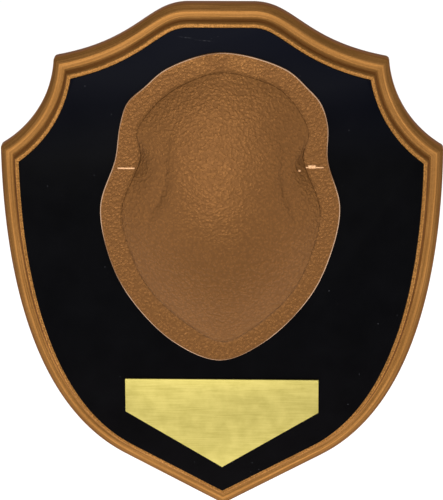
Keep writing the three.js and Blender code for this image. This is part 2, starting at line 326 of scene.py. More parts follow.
def edgePlace(tree, scale):
    place = tree.nodes.new("ShaderNodeUVMap")
    place.uv_map = "alongEdge"
    mapping = tree.nodes.new("ShaderNodeMapping")
    mapping.inputs["Scale"].default_value = scale
    tree.links.new(place.outputs["UV"], mapping.inputs["Vector"])
    return mapping.outputs["Vector"]


def noise(tree, place, scale, detail=3.0, roughness=0.5):
    made = tree.nodes.new("ShaderNodeTexNoise")
    made.inputs["Scale"].default_value = scale
    made.inputs["Detail"].default_value = detail
    made.inputs["Roughness"].default_value = roughness
    tree.links.new(place, made.inputs["Vector"])
    return made.outputs["Fac"]


def ramp(tree, factor, stops):
    made = tree.nodes.new("ShaderNodeValToRGB")
    band = made.color_ramp
    band.elements[0].position, band.elements[0].color = stops[0][0], (*stops[0][1], 1)
    band.elements[1].position, band.elements[1].color = stops[-1][0], (*stops[-1][1], 1)
    for position, colour in stops[1:-1]:
        band.elements.new(position).color = (*colour, 1)
    tree.links.new(factor, made.inputs["Fac"])
    return made.outputs["Color"]


def rangeOf(tree, value, low, high, fromLow=0.0, fromHigh=1.0):
    made = tree.nodes.new("ShaderNodeMapRange")
    made.inputs["From Min"].default_value = fromLow
    made.inputs["From Max"].default_value = fromHigh
    made.inputs["To Min"].default_value = low
    made.inputs["To Max"].default_value = high
    tree.links.new(value, made.inputs["Value"])
    return made.outputs["Result"]


def sumOf(tree, a, b, shareOfB):
    made = tree.nodes.new("ShaderNodeMath")
    made.operation = "MULTIPLY_ADD"
    made.inputs[1].default_value = shareOfB
    tree.links.new(b, made.inputs[0])
    tree.links.new(a, made.inputs[2])
    return made.outputs["Value"]


# Two colours mixed. The factor and the second colour are values or other nodes' outputs.
def blended(tree, blend, factor, first, second):
    made = tree.nodes.new("ShaderNodeMix")
    made.data_type = "RGBA"
    made.blend_type = blend
    tree.links.new(first, made.inputs["A"])
    for name, given in (("Factor", factor), ("B", second)):
        if isinstance(given, bpy.types.NodeSocket):
            tree.links.new(given, made.inputs[name])
        else:
            made.inputs[name].default_value = given
    return made.outputs["Result"]


def product(tree, a, b):
    made = tree.nodes.new("ShaderNodeMath")
    made.operation = "MULTIPLY"
    tree.links.new(a, made.inputs[0])
    tree.links.new(b, made.inputs[1])
    return made.outputs["Value"]


def bump(tree, height, depth, under=None):
    made = tree.nodes.new("ShaderNodeBump")
    made.inputs["Distance"].default_value = depth
    tree.links.new(height, made.inputs["Height"])
    if under is not None:
        tree.links.new(under, made.inputs["Normal"])
    return made.outputs["Normal"]


copperEdge = {
    "dark": (0.072, 0.0310, 0.0068),
    "middle": (0.102, 0.0450, 0.0110),
    "light": (0.165, 0.0770, 0.0220),
    "toneSpan": (0.5, 1.15),        # span of the wear that runs from dark to light
    "metallic": 0.8,
    "roughness": (0.34, 0.52),
    "grazing": (0.50, 0.32, 0.19),
    "brushScale": (25, 1500, 1),    # brush lines run along the moulding, under a millimetre apart
    "brushDepth": 0.035 * mm,
    "pebbleScale": 1100,
    "pebbleShare": 0.35,
    "pebbleDepth": 0.06 * mm,
    "cloudScale": 28,
    "cloudShare": 0.3,
    # Painted highlight lines and shade across the moulding as (millimetres from the back edge, gain)
    "highlightShadeBands": [(0, 1.2), (6.2, 1.35), (6.9, 1.9), (7.8, 1.4), (9.6, 1.2), (11.2, 1.0), (12.8, 0.95),
             (13.6, 1.8), (14.4, 1.3), (15.4, 1.1), (16.4, 1.4), (19.5, 1.9), (21.4, 1.6), (22.6, 1.3),
             (23.8, 1.1), (24.6, 1.7), (25.2, 1.25), (26.4, 1.35)],
    "bandSpan": 27 * mm,
    "glintGain": (0.6, 1.4),          # painted glints: gain of the pebbles on the inner line of the moulding
    "glintLineFrom": 23 * mm,
    "glintLineTo": 25 * mm,
}


def copperEdgeMaterial(look):
    material, tree, shader = newMaterial("copper painted moulding")
    brushed = noise(tree, edgePlace(tree, look["brushScale"]), 1.0, 3.0, 0.55)
    pebble = noise(tree, objectPlace(tree), look["pebbleScale"], 2.0, 0.6)
    cloud = noise(tree, objectPlace(tree), look["cloudScale"], 3.0)
    worn = sumOf(tree, sumOf(tree, brushed, pebble, look["pebbleShare"]), cloud, look["cloudShare"])
    tone = ramp(tree, rangeOf(tree, worn, 0, 1, *look["toneSpan"]),
                [(0.1, look["dark"]), (0.5, look["middle"]), (0.95, look["light"])])
    split = tree.nodes.new("ShaderNodeSeparateXYZ")
    tree.links.new(edgePlace(tree, (1, 1, 1)), split.inputs["Vector"])
    # Painted highlight lines and shade in bands across the moulding.
    across = rangeOf(tree, split.outputs["Y"], 0, 1, 0, look["bandSpan"])
    highlightShadeBands = ramp(tree, across, [(v * mm / look["bandSpan"], (gain, gain, gain)) for v, gain in look["highlightShadeBands"]])
    # Painted glints: the pebbles made lighter and darker on the inner line of the moulding.
    glintGain = rangeOf(tree, pebble, *look["glintGain"], 0.35, 0.65)
    onGlintLine = rangeOf(tree, split.outputs["Y"], 0, 1, look["glintLineFrom"], look["glintLineTo"])
    gain = tree.nodes.new("ShaderNodeMix")
    gain.inputs["A"].default_value = 1.0
    tree.links.new(onGlintLine, gain.inputs["Factor"])
    tree.links.new(glintGain, gain.inputs["B"])
    tone = blended(tree, "MULTIPLY", 1.0, tone, highlightShadeBands)
    tone = blended(tree, "MULTIPLY", 1.0, tone, gain.outputs["Result"])
    tree.links.new(tone, shader.inputs["Base Color"])
    tree.links.new(rangeOf(tree, worn, *look["roughness"], 0.6, 1.05), shader.inputs["Roughness"])
    shader.inputs["Metallic"].default_value = look["metallic"]
    shader.inputs["Specular Tint"].default_value = (*look["grazing"], 1)
    lines = bump(tree, brushed, look["brushDepth"])
    tree.links.new(bump(tree, pebble, look["pebbleDepth"], under=lines), shader.inputs["Normal"])
    return material


rawBoard = {
    "dark": (0.17, 0.105, 0.055),
    "light": (0.34, 0.235, 0.140),
    "toneSpan": (0.55, 1.05),
    "roughness": 0.85,
    "specular": 0.3,
    "fibreScale": 900,
    "fibreDepth": 0.06 * mm,
    "patchScale": 22,
    "patchShare": 0.6,
}


def rawBoardMaterial(look):
    material, tree, shader = newMaterial("bare fibreboard back")
    fibre = noise(tree, objectPlace(tree, (1, 1, 0.45)), look["fibreScale"], 4.0, 0.65)
    patch = noise(tree, objectPlace(tree), look["patchScale"], 3.0)
    mottled = sumOf(tree, fibre, patch, look["patchShare"])
    tone = ramp(tree, rangeOf(tree, mottled, 0, 1, *look["toneSpan"]),
                [(0.1, look["dark"]), (0.9, look["light"])])
    tree.links.new(tone, shader.inputs["Base Color"])
    shader.inputs["Roughness"].default_value = look["roughness"]
    shader.inputs["Specular IOR Level"].default_value = look["specular"]
    tree.links.new(bump(tree, fibre, look["fibreDepth"]), shader.inputs["Normal"])
    return material


blackSheet = {
    "dark": (0.0004, 0.0004, 0.0006),
    "light": (0.0009, 0.0009, 0.0012),
    # Painted reflection colours added towards the top and the bottom of the sheet
    "above": (0.0003, 0.0006, 0.0026),
    "below": (0.0003, 0.0001, 0.0),
    "roughness": (0.3, 0.42),
    "specular": 0.012,
    "cloudScale": 45,
    "cloudDepth": 0.02 * mm,
    "dust": (0.03, 0.03, 0.034),
    "dustPatchScale": 70,
    "speckScale": 260,
    "speckSize": 0.05,
    # Scratches as (middle across, height, length, slope in degrees)
    "scratches": [(-19.5, 134.6, 9, 7), (-9.0, 132.8, 12, 5)],
    "scratchHalfWidth": 0.35 * mm,
    "scratchBreakScale": 500,
    "scratchStrength": 0.8,
}


# Mask of a faint broken scratch.
def scratchMask(tree, look, across, height, length, slope):
    place = objectPlace(tree, shift=(-across * mm, 0, -height * mm))
    turned = tree.nodes.new("ShaderNodeMapping")
    turned.inputs["Rotation"].default_value = (0, -math.radians(slope), 0)
    tree.links.new(place, turned.inputs["Vector"])
    split = tree.nodes.new("ShaderNodeSeparateXYZ")
    tree.links.new(turned.outputs["Vector"], split.inputs["Vector"])

    def nearness(value, reach):
        size = tree.nodes.new("ShaderNodeMath")
        size.operation = "ABSOLUTE"
        tree.links.new(value, size.inputs[0])
        return rangeOf(tree, size.outputs["Value"], 1, 0, 0, reach)

    nearLine = nearness(split.outputs["Z"], look["scratchHalfWidth"])
    nearMiddle = nearness(split.outputs["X"], length / 2 * mm)
    broken = rangeOf(tree, noise(tree, objectPlace(tree), look["scratchBreakScale"], 2.0), 0, 1, 0.35, 0.6)
    return product(tree, product(tree, nearLine, nearMiddle), broken)


def blackSheetMaterial(look):
    material, tree, shader = newMaterial("black laminate")
    cloud = noise(tree, objectPlace(tree), look["cloudScale"], 5.0, 0.6)
    tone = ramp(tree, cloud, [(0.3, look["dark"]), (0.75, look["light"])])
    split = tree.nodes.new("ShaderNodeSeparateXYZ")
    tree.links.new(objectPlace(tree), split.inputs["Vector"])
    # Painted reflection: bluish towards the top of the sheet and brownish towards the bottom.
    upwards = rangeOf(tree, split.outputs["Z"], 0, 1, boardLow.z, boardHigh.z)
    paintedReflection = ramp(tree, upwards, [(0, look["below"]), (0.4, (0, 0, 0)), (0.7, (0, 0, 0)), (1, look["above"])])
    withReflection = blended(tree, "ADD", 1.0, tone, paintedReflection)
    speck = tree.nodes.new("ShaderNodeTexVoronoi")
    speck.inputs["Scale"].default_value = look["speckScale"]
    tree.links.new(objectPlace(tree), speck.inputs["Vector"])
    dust = rangeOf(tree, speck.outputs["Distance"], 1, 0, look["speckSize"], look["speckSize"] * 1.5)
    sparse = rangeOf(tree, noise(tree, objectPlace(tree), look["dustPatchScale"], 1.0), 0, 1, 0.6, 0.64)
    marks = product(tree, dust, sparse)
    for scratch in look["scratches"]:
        marks = sumOf(tree, marks, scratchMask(tree, look, *scratch), look["scratchStrength"])
    dusty = blended(tree, "MIX", marks, withReflection, (*look["dust"], 1))
    tree.links.new(dusty, shader.inputs["Base Color"])
    tree.links.new(rangeOf(tree, cloud, *look["roughness"]), shader.inputs["Roughness"])
    shader.inputs["Specular IOR Level"].default_value = look["specular"]
    tree.links.new(bump(tree, cloud, look["cloudDepth"]), shader.inputs["Normal"])
    return material


grainedCopper = {
    "valley": (0.070, 0.0258, 0.0027),
    "middle": (0.080, 0.0300, 0.0037),
    "crest": (0.095, 0.0370, 0.0053),
    "paintedSparkle": (0.135, 0.0560, 0.0110),
    "creaseShade": (0.042, 0.0160, 0.0018),
    "creaseShadeStrength": 0.6,
    "toneSpan": (0.55, 1.5),
    "metallic": 0.8,
    "roughness": (0.46, 0.32),  # in the valleys and on the crests of the grain
    "grainScale": 640,          # cells a metre, so the leather grain is about a millimetre and a half
    "grainDepth": 0.2 * mm,
    "wanderScale": 420,
    "wander": 0.0012,
    "poreScale": 1500,
    "poreShare": 0.45,
    "cloudScale": 35,
    "cloudShare": 0.4,
    "sparkleFrom": 108 * mm,     # height from which the flange gets a painted sparkle in patches
    "sparkleTo": 119 * mm,
    "sparklePatchScale": 60,
}


def grainedCopperMaterial(look):
    material, tree, shader = newMaterial("leather grained copper sheet")
    place = objectPlace(tree)
    wander = tree.nodes.new("ShaderNodeTexNoise")
    wander.inputs["Scale"].default_value = look["wanderScale"]
    wander.inputs["Detail"].default_value = 2.0
    tree.links.new(place, wander.inputs["Vector"])
    drift = blended(tree, "LINEAR_LIGHT", look["wander"], place, wander.outputs["Color"])
    cells = tree.nodes.new("ShaderNodeTexVoronoi")
    cells.feature = "SMOOTH_F1"
    cells.inputs["Scale"].default_value = look["grainScale"]
    cells.inputs["Smoothness"].default_value = 0.6
    tree.links.new(drift, cells.inputs["Vector"])
    domes = rangeOf(tree, cells.outputs["Distance"], 1, 0, 0.05, 0.75)
    pores = noise(tree, place, look["poreScale"], 2.0, 0.6)
    grain = sumOf(tree, domes, pores, look["poreShare"])
    cloud = noise(tree, place, look["cloudScale"], 3.0)
    worn = sumOf(tree, grain, cloud, look["cloudShare"])
    tone = ramp(tree, rangeOf(tree, worn, 0, 1, *look["toneSpan"]),
                [(0.05, look["valley"]), (0.5, look["middle"]), (0.95, look["crest"])])
    split = tree.nodes.new("ShaderNodeSeparateXYZ")
    tree.links.new(place, split.inputs["Vector"])
    # Painted sparkle: light patches on the grain crests near the top of the flange.
    upper = rangeOf(tree, split.outputs["Z"], 0, 1, look["sparkleFrom"], look["sparkleTo"])
    patches = rangeOf(tree, noise(tree, place, look["sparklePatchScale"], 2.0), 0, 1, 0.42, 0.62)
    crests = rangeOf(tree, grain, 0.25, 1, 0.7, 1.15)
    where = product(tree, product(tree, upper, patches), crests)
    paintedSparkle = blended(tree, "MIX", where, tone, (*look["paintedSparkle"], 1))
    # Painted shade in the crease round the foot of the dome.
    grooveShade = tree.nodes.new("ShaderNodeAttribute")
    grooveShade.attribute_name = "grooveShade"
    inGroove = rangeOf(tree, grooveShade.outputs["Fac"], 0, look["creaseShadeStrength"])
    creaseShaded = blended(tree, "MIX", inGroove, paintedSparkle, (*look["creaseShade"], 1))
    tree.links.new(creaseShaded, shader.inputs["Base Color"])
    tree.links.new(rangeOf(tree, grain, *look["roughness"], 0.4, 1.3), shader.inputs["Roughness"])
    shader.inputs["Metallic"].default_value = look["metallic"]
    tree.links.new(bump(tree, grain, look["grainDepth"]), shader.inputs["Normal"])
    return material


paleTrim = {
    "shade": (0.30, 0.15, 0.06),
    "light": (0.44, 0.240, 0.108),
    "metallic": 0.2,
    "roughness": 0.45,
    "speckleScale": 1800,
    "speckleDepth": 0.05 * mm,
}


def paleTrimMaterial(look):
    material, tree, shader = newMaterial("pale trim edge")
    speckle = noise(tree, objectPlace(tree), look["speckleScale"], 2.0)
    tone = ramp(tree, speckle, [(0.35, look["shade"]), (0.6, look["light"])])
    tree.links.new(tone, shader.inputs["Base Color"])
    shader.inputs["Roughness"].default_value = look["roughness"]
    shader.inputs["Metallic"].default_value = look["metallic"]
    tree.links.new(bump(tree, speckle, look["speckleDepth"]), shader.inputs["Normal"])
    return material


cutEdge = {
    "copper": (0.086, 0.033, 0.0045),
    "pale": (0.25, 0.150, 0.088),
    "metallic": 0.3,
    "roughness": 0.4,
    "stretchScale": 22,
    "nickScale": 1500,
    "nickDepth": 0.04 * mm,
}


# The cut edge of the sheet shows pale along some stretches.
def cutEdgeMaterial(look):
    material, tree, shader = newMaterial("cut edge of the sheet")
    stretch = noise(tree, objectPlace(tree), look["stretchScale"], 2.0)
    tone = ramp(tree, stretch, [(0.36, look["copper"]), (0.52, look["pale"])])
    nicks = noise(tree, objectPlace(tree), look["nickScale"], 2.0)
    tree.links.new(tone, shader.inputs["Base Color"])
    shader.inputs["Roughness"].default_value = look["roughness"]
    shader.inputs["Metallic"].default_value = look["metallic"]
    tree.links.new(bump(tree, nicks, look["nickDepth"]), shader.inputs["Normal"])
    return material


brushedBrass = {
    "dark": (0.214, 0.177, 0.039),
    "light": (0.276, 0.230, 0.062),
    "toneSpan": (0.65, 1.25),
    "metallic": 0.75,
    "roughness": (0.34, 0.5),
    "brushScale": (60, 60, 2600),   # brush lines run across the plate
    "brushDepth": 0.008 * mm,
    "cloudScale": 130,
    "cloudShare": 0.9,
}


def brushedBrassMaterial(look):
    material, tree, shader = newMaterial("blank brass plate")
    brushed = noise(tree, objectPlace(tree, look["brushScale"]), 1.0, 3.0, 0.6)
    cloud = noise(tree, objectPlace(tree), look["cloudScale"], 4.0, 0.6)
    clouded = sumOf(tree, brushed, cloud, look["cloudShare"])
    tone = ramp(tree, rangeOf(tree, clouded, 0, 1, *look["toneSpan"]),
                [(0.15, look["dark"]), (0.85, look["light"])])
    tree.links.new(tone, shader.inputs["Base Color"])
    tree.links.new(rangeOf(tree, clouded, *look["roughness"], 0.7, 1.2), shader.inputs["Roughness"])
    shader.inputs["Metallic"].default_value = look["metallic"]
    tree.links.new(bump(tree, clouded, look["brushDepth"]), shader.inputs["Normal"])
    return material


# Moulded board

moulding = {
    "backEase": 0.8 * mm,
    "outerRoundWidth": 5.8 * mm,
    "outerRoundRise": 5.2 * mm,
    "ledgeWidth": 0.6 * mm,
    "coveWidth": 2.1 * mm,
    "coveRise": 4 * mm,
    "innerRoundWidth": 1.6 * mm,
    "innerRoundRise": 3.6 * mm,
    "marginWidth": 1.4 * mm,
    "roundSteps": 12,
    "coveSteps": 10,
    "easeSteps": 4,
    "sideSteps": 3,
}
keyhole = {
    "entryRadius": 5 * mm,
    "neckRadius": 2.5 * mm,
    "depth": 10 * mm,
    "lip": 3.5 * mm,
    "travel": 12 * mm,
    "drop": 67.5 * mm,
    "sides": 64,
    "overrun": 1 * mm,      # cutters start this far outside, and faces this near the slot are bare board
}


# Section of the moulding as (inset, depth) from the back of the board to its face.
def edgeSection(m):
    def quarter(steps):
        return [k / steps * math.pi / 2 for k in range(steps + 1)]

    faceY = boardLow.y
    ledgeInset = m["outerRoundWidth"] + m["ledgeWidth"]
    innerInset = ledgeInset + m["coveWidth"]
    faceInset = innerInset + m["innerRoundWidth"]
    ledgeDrop = m["innerRoundRise"] + m["coveRise"]
    lipY = faceY + ledgeDrop + m["outerRoundRise"]
    back = [(m["backEase"] * (1 - math.sin(a)), -m["backEase"] * (1 - math.cos(a)))
            for a in quarter(m["easeSteps"])]
    side = [(0, -m["backEase"] + (lipY + m["backEase"]) * k / m["sideSteps"])
            for k in range(1, m["sideSteps"])]
    outer = [(m["outerRoundWidth"] * (1 - math.cos(a)), lipY - m["outerRoundRise"] * math.sin(a))
             for a in quarter(m["roundSteps"])]
    cove = [(ledgeInset + m["coveWidth"] * math.sin(a),
             faceY + m["innerRoundRise"] + m["coveRise"] * math.cos(a)) for a in quarter(m["coveSteps"])]
    inner = [(innerInset + m["innerRoundWidth"] * (1 - math.cos(a)),
              faceY + m["innerRoundRise"] * (1 - math.sin(a))) for a in quarter(m["roundSteps"])]
    margin = [(faceInset + m["marginWidth"], faceY)]
    return [*back, *side, *outer, *cove, *inner[1:], *margin]


# A round cutter in the back, drawn out upwards into a slot.
def slotCutter(k, radius, nearY, farY):
    deselectAll()
    centreZ = boardHigh.z - k["drop"]
    middle = (nearY + farY) / 2
    bpy.ops.mesh.primitive_cylinder_add(vertices=k["sides"], radius=radius, depth=nearY - farY,
                                        location=(0, middle, centreZ), rotation=(math.pi / 2, 0, 0))
    cutter = bpy.context.object
    bpy.ops.object.transform_apply(location=True, rotation=True, scale=True)
    bpy.ops.object.mode_set(mode="EDIT")
    mesh = bmesh.from_edit_mesh(cutter.data)
    for vertex in mesh.verts:
        vertex.select = vertex.co.z > centreZ + 0.01 * mm
    mesh.select_flush(True)
    bmesh.update_edit_mesh(cutter.data)
    bpy.ops.transform.translate(value=(0, 0, k["travel"]))
    bpy.ops.object.mode_set(mode="OBJECT")
    return cutter


def entryCutter(k):
    deselectAll()
    bpy.ops.mesh.primitive_cylinder_add(vertices=k["sides"], radius=k["entryRadius"], depth=2 * k["depth"],
                                        location=(0, 0, boardHigh.z - k["drop"]),
                                        rotation=(math.pi / 2, 0, 0))
    return bpy.context.object


def cutAway(piece, cutter):
    makeActive(piece)
    cut = piece.modifiers.new("keyhole", "BOOLEAN")
    cut.operation = "DIFFERENCE"
    cut.solver = "EXACT"
    cut.object = cutter
    bpy.ops.object.modifier_apply(modifier=cut.name)
    bpy.data.objects.remove(cutter)


def makeBoard():
    rings = [standing(shieldInset(inset), y) for inset, y in edgeSection(moulding)]
    board = startRing("mouldedBoard", rings[0])
    drawThrough(board, rings)
    closeEnds(board, len(rings) - 1)
    mapAlongRings(board, rings)
    k = keyhole
    cutAway(board, entryCutter(k))
    cutAway(board, slotCutter(k, k["neckRadius"], k["overrun"], -k["depth"]))
    cutAway(board, slotCutter(k, k["entryRadius"], -k["lip"], -k["depth"]))
    finishPiece(board, "plaque_board",
                [copperEdgeMaterial(copperEdge), rawBoardMaterial(rawBoard)])
    entryZ = boardHigh.z - k["drop"]
    reachAcross = k["entryRadius"] + k["overrun"]
    reachUp = k["travel"] + reachAcross
    for face in board.data.polygons:
        across, depth, height = face.center
        nearSlot = abs(across) < reachAcross and abs(height - entryZ) < reachUp
        inSlot = nearSlot and depth > -k["depth"] - k["overrun"]
        face.material_index = 1 if face.normal.y > 0.99 or inSlot else 0
    shadeByAngle(board, 35)


# Black face sheet

faceSheet = {
    "ease": 0.2 * mm,
    "easeSteps": 3,
}


def makePanel():
    inset = sum(moulding[name] for name in ("outerRoundWidth", "ledgeWidth", "coveWidth",
                                            "innerRoundWidth", "marginWidth"))
    ease = faceSheet["ease"]
    steps = faceSheet["easeSteps"]
    frontY = panelLow.y
    backY = boardLow.y - seatGap
    section = [(inset, backY)]
    for k in range(steps + 1):
        a = k / steps * math.pi / 2
        section.append((inset + ease * (1 - math.cos(a)), frontY + ease * (1 - math.sin(a))))
    rings = [standing(shieldInset(distance), y) for distance, y in section]
    panel = startRing("blackFaceSheet", rings[0])
    drawThrough(panel, rings)
    closeEnds(panel, len(rings) - 1)
    finishPiece(panel, "face_panel", [blackSheetMaterial(blackSheet)])
    shadeByAngle(panel, 40)


# Domed cover. A level is (drop below the crown, reach to the right, reach to the left) in millimetres.

cover = {
    "flange": [
        (0, 0.4, -0.4),
        (9.3, 36.7, 29.9),
        (20.3, 49.4, 43.1),
        (29.3, 57, 52.7),
        (42.3, 61, 57.1),
        (62.3, 61.1, 60.1),
        (90.3, 68.2, 69),
        (121.3, 62, 64.2),
        (145.8, 49.9, 52.3),
        (171.8, 24.5, 27.8),
        (182.9, -0.9, 0.9),
    ],
    "foot": [
        (11.4, 1, -1),
        (19.3, 31, 22.5),
        (25.4, 38.5, 31.4),
        (32.3, 44, 38.6),
        (46.3, 50.2, 47.4),
        (61.3, 47.3, 45.8),
        (92.3, 56.9, 56.7),
        (121.3, 50.7, 50.7),
        (142.3, 39.8, 39.2),
        (162.5, 18.6, 17),
        (171.3, 0.8, -0.8),
    ],
    "brow": [
        (32, 1, -1),
        (36, 16, 14),
        (41, 25, 21),
        (47, 31, 26),
        (56, 34, 28.5),
        (77, 34.3, 30),
        (101, 41.5, 40),
        (117.5, 40, 39),
        (134, 29, 28),
        (149, 13.5, 12),
        (155, 0.8, -0.8),
    ],
    "topMargin": 25.2 * mm,
    "thickness": 1.8 * mm,
    "edgeEase": 0.5 * mm,
    "edgeSteps": 4,
    "rise": 16.8 * mm,
    "apexDrop": 97.5 * mm,
    "apexRight": 1 * mm,
    "creaseWidth": 1.4 * mm,
    "creaseDepth": 0.22 * mm,
    "creaseStages": (0.35, 0.7, 1),
    "stepsPerLevel": 16,
    "rimSteps": 26,
    "crownSteps": 24,
    "insideRimSteps": 7,
    "insideCrownSteps": 7,
    "flangeSteps": 6,
    "crowding": 1.4,
}
# The dome is an even mound about its apex, let down to the flange along its rim, with a ledge outside the
# brow line at the waist. Stages run 0 to 1 from foot to brow line, then to 2.
mound = {
    "halfWidth": 57.8 * mm,
    "reachUp": 92 * mm,
    "reachDown": 71.5 * mm,
    "squareness": (2.2, 1.7),   # above and below the apex
    "fullness": 1.9,
    "apexRound": 0.2,
    "rampShare": 0.25,
    "rimRun": (1.7, 0.6),       # at the lobes and at the waist
    "ledgeDrop": 1.5 * mm,
    "stepStart": 0.86,
    "stepRun": 0.28,
    "templeDirection": math.radians(31),
    "templeSpread": math.radians(22),
    "topFrom": math.radians(20),
    "topTo": math.radians(80),
}
# Painted shade in the groove round the foot, by stations from the foot, fading with height
grooveShading = {
    "depths": {-2: 0.3, -1: 0.8, 0: 1.0, 1: 0.7, 2: 0.35},
    "unshadedAbove": 40 * mm,
    "fadeRun": 70 * mm,
    "least": 0.2,
}
# Trim marks as (middle across, drop below the crown, length, width) in millimetres
trimMarks = {
    "left": (-53.8, 67.5, 9.8, 0.9),
    "right": (53.6, 66.5, 10.4, 0.7),
    "lump": (52.0, 66.1, 4.4, 2.0),
    "crumb": (44.9, 67.2, 1.3, 0.9),
}
trimWork = {
    "rise": 0.4 * mm,
    "bevel": 0.25 * mm,
    "cuts": 3,
    "ragged": {"left": 0.06 * mm, "right": 0.06 * mm, "lump": 0.2 * mm, "crumb": 0.2 * mm},
    "seed": 5,
    "searchReach": 3 * mm,
}


# Closed curve through the levels, clockwise from the crown, rounded evenly through each of them.
def levelPath(levels, steps):
    crownZ = boardHigh.z - cover["topMargin"]
    right = [Vector((reach * mm, crownZ - drop * mm)) for drop, reach, _ in levels]
    left = [Vector((-reach * mm, crownZ - drop * mm)) for drop, _, reach in reversed(levels[1:-1])]
    knots = right + left
    path = []
    for i in range(len(knots)):
        before, start, end, after = (knots[(i + k) % len(knots)] for k in (-1, 0, 1, 2))
        gaps = [math.sqrt((b - a).length) for a, b in ((before, start), (start, end), (end, after))]
        toStart, toEnd, toAfter = gaps
        along = (end - start) / toEnd
        startPull = (start - before) / toStart - (end - before) / (toStart + toEnd) + along
        endPull = along - (after - start) / (toEnd + toAfter) + (after - end) / toAfter
        startPull *= toEnd
        endPull *= toEnd
        for k in range(steps):
            t = k / steps
            path.append(start * (2 * t**3 - 3 * t**2 + 1) + startPull * (t**3 - 2 * t**2 + t)
                        + end * (3 * t**2 - 2 * t**3) + endPull * (t**3 - t**2))
    return path


def clamp(t):
    return min(max(t, 0), 1)


def easeBoth(t):
    return clamp(t) ** 2 * (3 - 2 * clamp(t))


def easeOut(t):
    return 1 - (1 - clamp(t)) ** 2


# Rise of the whole mound at a place given from its apex.
def moundHeight(place):
    m = mound
    n = m["squareness"][0 if place.y > 0 else 1]
    reach = m["reachUp"] if place.y > 0 else m["reachDown"]
    out = (abs(place.x / m["halfWidth"]) ** n + abs(place.y / reach) ** n) ** (1 / n)
    upwards = math.atan2(place.y, abs(place.x))
    toTop = easeBoth((upwards - m["topFrom"]) / (m["topTo"] - m["topFrom"]))
    rounded = 1 - out ** m["fullness"]
    r = m["apexRound"]
    ramped = 1 - (math.hypot(out, r) - r) / (math.hypot(1, r) - r)
    return cover["rise"] * (rounded + (ramped - rounded) * toTop * m["rampShare"])


# Rise of the dome at a place on the way from a foot place, both given from the apex. The lobes rise in a
# round and the waist as a straight wall.
def domeHeight(place, footPlace, stage):
    m = mound
    direction = math.atan2(footPlace.y, abs(footPlace.x))
    toWaist = math.exp(-((direction - m["templeDirection"]) / m["templeSpread"]) ** 2)
    lobeRun, waistRun = m["rimRun"]
    rounded = easeOut(stage / lobeRun)
    straight = easeBoth(stage / waistRun / 2 + 0.5) * 2 - 1
    rim = rounded + (straight - rounded) * toWaist
    step = easeBoth((stage - m["stepStart"]) / m["stepRun"])
    ledge = m["ledgeDrop"] * toWaist * rim * (1 - step)
    return moundHeight(place) - moundHeight(footPlace) * (1 - rim) - ledge


def coverRings():
    c = cover
    flange = levelPath(c["flange"], c["stepsPerLevel"])
    foot = levelPath(c["foot"], c["stepsPerLevel"])
    brow = levelPath(c["brow"], c["stepsPerLevel"])
    apex = Vector((c["apexRight"], boardHigh.z - c["topMargin"] - c["apexDrop"]))
    backY = panelLow.y - seatGap
    flangeY = coverHigh.y - c["thickness"]

    def domeRing(start, middle, stage, floorY):
        ring = []
        for a, b in zip(start, middle):
            place = a.lerp(b, stage) if stage <= 1 else b.lerp(apex, stage - 1)
            rise = domeHeight(place - apex, a - apex, stage)
            ring.append(Vector((place.x, floorY - rise, place.y)))
        return ring

    def stages(rimSteps, crownSteps):
        rim = [(k / rimSteps) ** c["crowding"] for k in range(rimSteps)]
        return rim + [1 + (k / crownSteps) ** c["crowding"] for k in range(crownSteps)]

    innerFoot = smoothInset(foot, c["thickness"])
    innerBrow = smoothInset(brow, c["thickness"])
    inside = [domeRing(innerFoot, innerBrow, stage, backY)
              for stage in stages(c["insideRimSteps"], c["insideCrownSteps"])]
    outside = [domeRing(foot, brow, stage, flangeY) for stage in stages(c["rimSteps"], c["crownSteps"])[1:]]
    edge = [standing(smoothInset(flange, 0), backY)]
    for k in range(c["edgeSteps"] + 1):
        a = k / c["edgeSteps"] * math.pi / 2
        y = flangeY + c["edgeEase"] * (1 - math.sin(a))
        edge.append(standing(smoothInset(flange, c["edgeEase"] * (1 - math.cos(a))), y))
    innerEdge = standing(smoothInset(foot, -c["creaseWidth"]), flangeY)
    flat = [[a.lerp(b, k / c["flangeSteps"]) for a, b in zip(edge[-1], innerEdge)]
            for k in range(1, c["flangeSteps"] + 1)]
    crease = []
    for t in c["creaseStages"]:
        y = flangeY + c["creaseDepth"] * easeBoth(t)
        crease.append(standing(smoothInset(foot, -c["creaseWidth"] * (1 - t)), y))
    return [*reversed(inside), *edge, *flat, *crease, *outside]


# Notes how far each vertex lies in the groove round the foot of the dome, for the painted shade there,
# which is stronger lower down.
def markGroove(piece, footStation):
    g = grooveShading
    grooveShade = piece.data.attributes.new("grooveShade", "FLOAT", "POINT")
    for i, item in enumerate(piece.data.attributes["across"].data):
        lower = clamp((g["unshadedAbove"] - piece.data.vertices[i].co.z) / g["fadeRun"])
        share = g["least"] + (1 - g["least"]) * lower
        grooveShade.data[i].value = g["depths"].get(item.value - footStation, 0) * share


# Faces between two stations of the sheet.
def facesBetween(piece, first, last):
    across = [item.value for item in piece.data.attributes["across"].data]
    return [face for face in piece.data.polygons if all(first <= across[v] <= last for v in face.vertices)]


